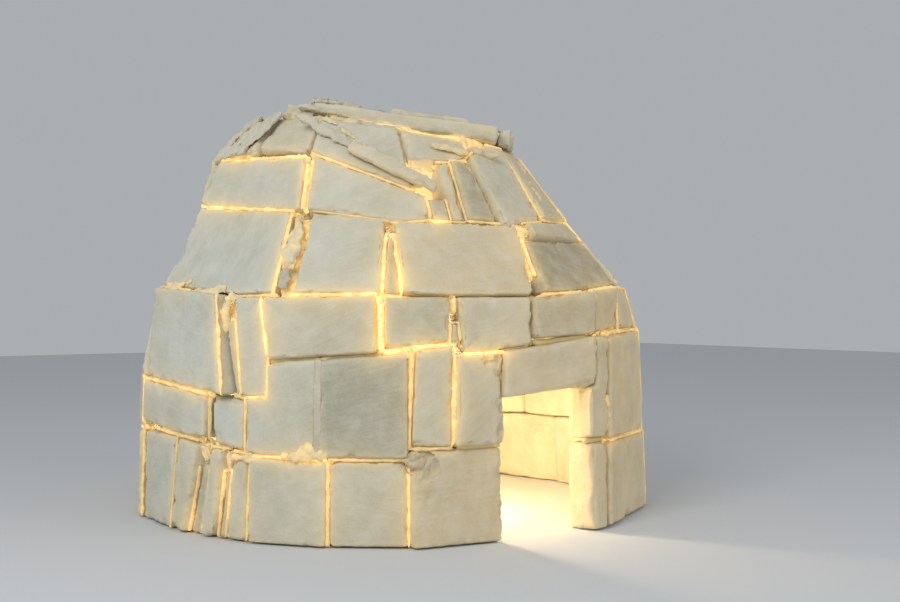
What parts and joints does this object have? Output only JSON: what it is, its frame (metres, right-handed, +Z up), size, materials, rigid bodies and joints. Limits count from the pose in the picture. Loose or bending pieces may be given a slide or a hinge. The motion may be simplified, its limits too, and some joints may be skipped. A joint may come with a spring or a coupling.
{
  "type": "snow block igloo",
  "caption": "Hollow igloo of flat sawn snow blocks in leaning courses, with a low doorway under a lintel and a roof closed by long slabs.",
  "frame": {"origin": "middle of the lowest ring of blocks, at ground level", "axes": "+Z up; the doorway faces -Y and +X is to the right of someone who looks at it from outside"},
  "size_m": [2.8039, 2.7787, 2.2421],
  "materials": {
    "packed_snow": "matte, sawn wind-packed snow",
    "chinking_snow": "matte, broken wind-packed snow"
  },
  "bodies": {
    "root": {"chinking_pieces": "chinking_snow", "closing_slab_back": "packed_snow", "closing_slab_front": "packed_snow", "closing_slab_middle": "packed_snow", "course_1_blocks_a": "packed_snow", "course_1_blocks_b": "packed_snow", "course_2_blocks_a": "packed_snow", "course_2_blocks_b": "packed_snow", "course_3_blocks_a": "packed_snow", "course_3_blocks_b": "packed_snow", "course_4_blocks_a": "packed_snow", "course_4_blocks_b": "packed_snow", "course_5_blocks_a": "packed_snow", "course_5_blocks_b": "packed_snow", "front_block_1a": "packed_snow", "front_block_1b": "packed_snow", "front_block_2a": "packed_snow", "front_block_2b": "packed_snow", "front_block_2c": "packed_snow", "front_block_3a": "packed_snow", "front_block_3b": "packed_snow", "front_block_3c": "packed_snow", "front_block_3d": "packed_snow", "front_block_3e": "packed_snow", "front_block_3f": "packed_snow", "front_block_3g": "packed_snow", "front_block_4a": "packed_snow", "front_block_4b": "packed_snow", "front_block_4c": "packed_snow", "front_block_4d": "packed_snow", "front_block_5a": "packed_snow", "front_block_5b": "packed_snow", "front_block_5c": "packed_snow", "front_block_5d": "packed_snow", "front_roof_slab": "packed_snow", "leaning_plank": "packed_snow", "leaning_roof_slab": "packed_snow", "left_jamb_lower": "packed_snow", "left_jamb_upper": "packed_snow", "levelling_slab": "packed_snow", "lintel": "packed_snow", "right_jamb_lower": "packed_snow", "right_jamb_upper": "packed_snow", "roof_slabs_a": "packed_snow", "roof_slabs_b": "packed_snow", "small_roof_slabs": "packed_snow"}
  },
  "joints": []
}
